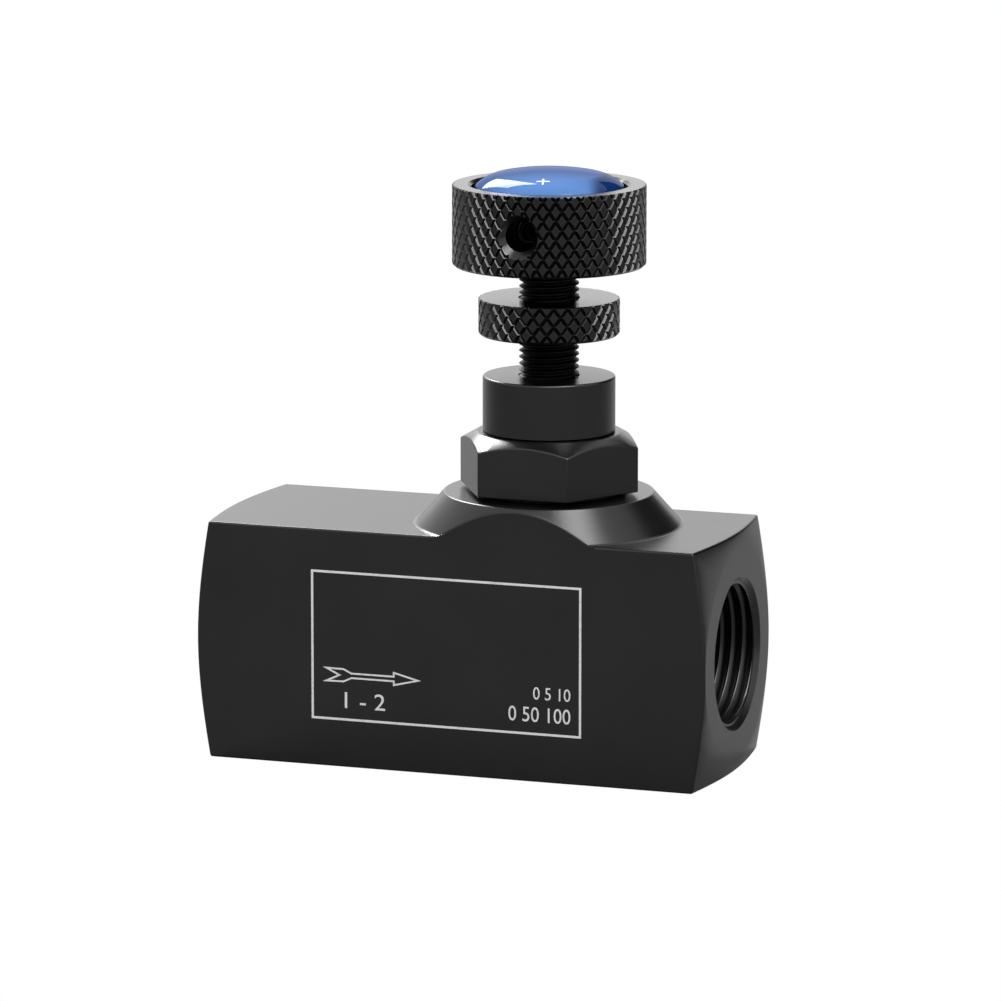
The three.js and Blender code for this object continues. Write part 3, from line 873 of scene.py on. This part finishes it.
# ---------------------------------------------------------------------------------------------
# Lock ring: a round aluminium nut, diamond knurled, chamfered and black anodised. A polymer
# insert in its lower face grips the spindle's thread.
# ---------------------------------------------------------------------------------------------
def knurled_bar(name, radius, low, high, around, pitch, groove, depth):
    """A bar with a diamond knurl: a tube of square cells, each poked and freed of its border so
    that diamonds are left, and each diamond raised out of the two crossing sets of grooves."""
    deselect()
    root = (radius - depth) * MM
    start = low - pitch
    rows = math.ceil((high - low) / pitch) + 3
    bpy.ops.mesh.primitive_circle_add(vertices=around, radius=root, location=(0, 0, start * MM))
    piece = bpy.context.object
    piece.name = name
    bpy.ops.object.transform_apply(location=True, rotation=False, scale=False)
    bpy.ops.object.mode_set(mode="EDIT")
    bpy.ops.mesh.select_mode(type="EDGE")
    bpy.ops.mesh.select_all(action="SELECT")
    for _ in range(rows):
        bpy.ops.mesh.extrude_region_move(TRANSFORM_OT_translate={"value": (0, 0, pitch * MM)})
    bpy.ops.object.mode_set(mode="OBJECT")
    corners = len(piece.data.vertices)
    bpy.ops.object.mode_set(mode="EDIT")
    bpy.ops.mesh.select_mode(type="FACE")
    bpy.ops.mesh.select_all(action="SELECT")
    bpy.ops.mesh.normals_make_consistent(inside=False)
    bpy.ops.mesh.poke()
    bpy.ops.mesh.select_all(action="DESELECT")
    bpy.ops.mesh.select_mode(type="VERT")
    bpy.ops.object.mode_set(mode="OBJECT")
    for vertex in piece.data.vertices:
        vertex.select = vertex.index >= corners
    bpy.ops.object.mode_set(mode="EDIT")
    out = 1 / math.cos(math.pi / around)
    bpy.ops.transform.resize(value=(out, out, 1), center_override=(0, 0, 0))
    bpy.ops.mesh.select_mode(type="EDGE")
    bpy.ops.mesh.select_all(action="DESELECT")
    bpy.ops.object.mode_set(mode="OBJECT")
    top, near = start + rows * pitch, 0.01
    for edge in piece.data.edges:
        ends = [piece.data.vertices[i] for i in edge.vertices]
        border = all(v.index < corners for v in ends)
        heights = [v.co.z / MM for v in ends]
        rim = max(heights) - min(heights) < near and (
            min(heights) < start + near or max(heights) > top - near
        )
        edge.select = border and not rim
    bpy.ops.object.mode_set(mode="EDIT")
    bpy.ops.mesh.dissolve_edges(use_verts=False)
    bpy.ops.mesh.select_mode(type="FACE")
    bpy.ops.mesh.select_all(action="SELECT")
    bpy.ops.mesh.inset(thickness=groove / 2 * MM, depth=depth * MM, use_individual=True)
    bpy.ops.mesh.select_mode(type="EDGE")
    close_ends(piece, stem_x)
    return piece


ring_low, ring_high = 50.15, 54.4
ring_radius, knurl_groove, knurl_depth = 8.175, 0.42, 0.28
lock_ring = knurled_bar(
    "lock_nut", ring_radius, ring_low, ring_high, 32, 2.05, knurl_groove, knurl_depth
)
ring_blank = turned_piece(
    "ring_blank",
    [(7.9, ring_low), (8.3, ring_low + 0.43), (8.3, ring_high - 0.25), (8.05, ring_high)],
    sides=192,
)
shape_with(lock_ring, ring_blank, "INTERSECT")
ring_bore = turned_piece(
    "ring_bore",
    [(4.9, ring_low - 1), (4.9, 51.5), (3.57, 51.5), (3.57, ring_high + 0.5)],
)
shape_with(lock_ring, ring_bore, "DIFFERENCE")
smooth(lock_ring)
black_anodised = blackened_steel("black_anodised", 0.035, 0.2, 9000, 0.4)
dress(lock_ring, black_anodised, "black_aluminium", "lock_nut", "lock_ring")
square_ring("thread_insert", 3.6, 4.8, 50.4, 51.4, "lock_insert", "lock_ring_insert")

# ---------------------------------------------------------------------------------------------
# Knob and its set screw: a black anodised aluminium knob with a diamond knurl, a recess for the
# cap and a countersunk hole. The hexagon-socket screw in the hole grips the spindle's flat.
# ---------------------------------------------------------------------------------------------
knob_low, knob_high, knob_radius = 58.2, 67.6, 11.2
knob = knurled_bar(
    "knurled_knob", knob_radius, knob_low, knob_high, 48, 2.2, knurl_groove, knurl_depth
)
knob_blank = turned_piece(
    "knob_blank",
    [(10.9, knob_low), (11.3, knob_low + 0.4), (11.3, knob_high - 0.22), (11.08, knob_high)],
    sides=256,
)
shape_with(knob, knob_blank, "INTERSECT")
recess = turned_piece(
    "cap_recess",
    [(8.75, 65.4), (9.05, 65.7), (9.05, knob_high - 0.35), (9.85, knob_high + 0.45)],
    sides=192,
)
shape_with(knob, recess, "DIFFERENCE")
spindle_hole = turned_piece("spindle_hole", [(3.7, knob_low - 0.5), (3.1, knob_low + 0.1), (3.1, 64.7)])
shape_with(knob, spindle_hole, "DIFFERENCE")
screw_height = 62.9


def point_forward(piece):
    """Turns a piece made along Z at the origin to face the front, on the set screw's axis."""
    pick(piece)
    piece.rotation_euler = (math.pi / 2, 0, 0)
    piece.location = (stem_x, 0, screw_height * MM)
    bpy.ops.object.transform_apply(location=True, rotation=True, scale=False)


screw_hole = turned_piece("screw_hole", [(1.75, 2.6), (1.75, 10.35), (3.4, 12.0)], sides=96, middle=0)
point_forward(screw_hole)
shape_with(knob, screw_hole, "DIFFERENCE")
smooth(knob)
dress(knob, black_anodised, "black_aluminium", "spindle", "knob")

set_screw = turned_piece("grub_screw", [(1.25, 2.75), (1.4, 3.1), (1.4, 6.55), (1.2, 6.75)], middle=0)
screw_thread = threaded_bar("screw_thread", 1.65, 1.36, 0.5, 3.1, 6.55, 0, steps=48)
shape_with(set_screw, screw_thread, "UNION")
shape_with(set_screw, socket_cutter(2, 5.2, 7.7, middle=0), "DIFFERENCE")
point_forward(set_screw)
smooth(set_screw)
dress(set_screw, spindle_steel, "spindle_steel", "spindle", "knob_set_screw")

# ---------------------------------------------------------------------------------------------
# Cap: a printed blue disc in the knob's recess under a domed cap of clear blue resin, with a
# small plus sign to show which way opens the valve.
# ---------------------------------------------------------------------------------------------
print_blues = ((0.004, 0.09, 0.40), (0.006, 0.12, 0.48))
blue_print = speckled_finish("blue_print", 4000, print_blues, (0.35, 0.5), 0.003, detail=2)
cap_disc = turned_piece("printed_disc", [(8.75, 65.5), (8.75, 66.3)])
break_edges(cap_disc, 0.08)
smooth(cap_disc)
dress(cap_disc, blue_print, "blue_print", "spindle", "cap_disc")

dome_radius, dome_low, dome_crown = 8.55, 66.4, 69.4
top_radius, top_sphere, lip_slope = 5.9, 30, 44
top_slope = math.degrees(math.asin(top_radius / top_sphere))
lean = math.sin(math.radians(lip_slope)) - math.sin(math.radians(top_slope))
shoulder_radius = (dome_radius - top_radius) / lean
shoulder_gap = top_sphere - shoulder_radius
shoulder_centre = (
    shoulder_gap * math.sin(math.radians(top_slope)),
    dome_crown - top_sphere + shoulder_gap * math.cos(math.radians(top_slope)),
)


def dome_curve(lift):
    """The dome's section from its lip to its crown, lifted off the resin by so many millimetres."""
    shoulder = arc(shoulder_centre, shoulder_radius + lift, 90 - lip_slope, 90 - top_slope, 16)
    top = arc((0, dome_crown - top_sphere), top_sphere + lift, 90 - top_slope, 89.8, 16)
    return shoulder + top[1:]


cap_dome = turned_piece(
    "resin_dome",
    [(dome_radius - 0.1, dome_low), (dome_radius, dome_low + 0.1)] + dome_curve(0),
    sides=160,
)
smooth(cap_dome, 50)
# Painted light and shade: the dome's base colour is painted lighter towards the front and darker
# towards the back, and a painted shade darkens its shoulder at the right.
painted_light_way, painted_shade_way = (0.329, -0.944, 0), (0.944, 0.329, 0)
blue_resin, nodes, links, shader = new_finish("blue_resin")
shader.inputs["Specular IOR Level"].default_value = 0.0
shader.inputs["Coat Weight"].default_value = 0.32
shader.inputs["Coat Roughness"].default_value = 0.02
place = nodes.new("ShaderNodeTexCoord")
swirl = nodes.new("ShaderNodeTexNoise")
swirl.inputs["Scale"].default_value = 120
swirl.inputs["Detail"].default_value = 2
centre = nodes.new("ShaderNodeMapping")
centre.inputs["Location"].default_value = (-stem_x, 0, 0)
centre.inputs["Scale"].default_value = (1, 1, 0)
reach = nodes.new("ShaderNodeVectorMath")
reach.operation = "LENGTH"
toward = nodes.new("ShaderNodeVectorMath")
toward.operation = "DOT_PRODUCT"
toward.inputs[1].default_value = painted_light_way
beside = nodes.new("ShaderNodeVectorMath")
beside.operation = "DOT_PRODUCT"
beside.inputs[1].default_value = painted_shade_way
painted_light_fade = nodes.new("ShaderNodeMapRange")
painted_light_fade.inputs["From Min"].default_value = -dome_radius * MM
painted_light_fade.inputs["From Max"].default_value = dome_radius * MM
# Painted light and shade: dark blue at the back, lighter blue at the front.
tint = nodes.new("ShaderNodeValToRGB")
tint.color_ramp.elements[0].position = 0.62
tint.color_ramp.elements[0].color = (0.001, 0.030, 0.125, 1)
tint.color_ramp.elements[1].position = 0.92
tint.color_ramp.elements[1].color = (0.050, 0.118, 0.285, 1)
# Mask of the painted shade: the dome's shoulder ring, on its right-hand side only.
border = nodes.new("ShaderNodeMapRange")
border.interpolation_type = "SMOOTHSTEP"
border.inputs["From Min"].default_value = 5.8 * MM
border.inputs["From Max"].default_value = 6.5 * MM
side = nodes.new("ShaderNodeMapRange")
side.interpolation_type = "SMOOTHSTEP"
side.inputs["From Min"].default_value = 4 * MM
side.inputs["From Max"].default_value = 6 * MM
deep = nodes.new("ShaderNodeMath")
deep.operation = "MULTIPLY"
# Mixes a painted shade of deep blue into the base colour where the mask is set.
painted_shade_mix = nodes.new("ShaderNodeMix")
painted_shade_mix.data_type = "RGBA"
painted_shade_mix.inputs["B"].default_value = (0.0005, 0.012, 0.06, 1)
rough = nodes.new("ShaderNodeMapRange")
rough.inputs["To Min"].default_value = 0.02
rough.inputs["To Max"].default_value = 0.05
relief = nodes.new("ShaderNodeBump")
relief.inputs["Strength"].default_value = 0.03
relief.inputs["Distance"].default_value = 0.005 * MM
links.new(place.outputs["Object"], swirl.inputs["Vector"])
links.new(place.outputs["Object"], centre.inputs["Vector"])
links.new(centre.outputs["Vector"], reach.inputs[0])
links.new(reach.outputs["Value"], border.inputs["Value"])
links.new(centre.outputs["Vector"], toward.inputs[0])
links.new(centre.outputs["Vector"], beside.inputs[0])
links.new(toward.outputs["Value"], painted_light_fade.inputs["Value"])
links.new(beside.outputs["Value"], side.inputs["Value"])
links.new(border.outputs["Result"], deep.inputs[0])
links.new(side.outputs["Result"], deep.inputs[1])
links.new(painted_light_fade.outputs["Result"], tint.inputs["Fac"])
links.new(deep.outputs["Value"], painted_shade_mix.inputs["Factor"])
links.new(tint.outputs["Color"], painted_shade_mix.inputs["A"])
links.new(painted_shade_mix.outputs["Result"], shader.inputs["Base Color"])
links.new(swirl.outputs["Fac"], rough.inputs["Value"])
links.new(rough.outputs["Result"], shader.inputs["Roughness"])
links.new(swirl.outputs["Fac"], relief.inputs["Height"])
links.new(relief.outputs["Normal"], shader.inputs["Normal"])
dress(cap_dome, blue_resin, "blue_resin", "spindle", "cap_dome")

plus_place, plus_reach, plus_line, plus_turn = (9.31, -6.06, 66), 0.73, 0.17, 15
strokes = []
for along, across in ((plus_reach, plus_line / 2), (plus_line / 2, plus_reach)):
    stroke = box_piece("stroke", (-along * MM, -across * MM, 0), (along * MM, across * MM, 6 * MM))
    stroke.rotation_euler = (0, 0, math.radians(plus_turn))
    stroke.location = Vector(plus_place) * MM
    bpy.ops.object.transform_apply(location=True, rotation=True, scale=False)
    strokes.append(stroke)
ink_shell = turned_piece(
    "ink_shell",
    dome_curve(-0.02) + list(reversed(dome_curve(0.012))),
    sides=160,
    hollow=True,
)
plus_sign = strokes[0]
shape_with(plus_sign, strokes[1], "UNION")
shape_with(plus_sign, ink_shell, "INTERSECT")
plus_sign.name = "plus_sign"
white_ink = pale_ink.copy()
white_ink.name = "white_ink"
ink_white = (0.85, 0.85, 0.85, 1)
for element in white_ink.node_tree.nodes["Color Ramp"].color_ramp.elements:
    element.color = ink_white
dress(plus_sign, white_ink, "white_polymer", "spindle")
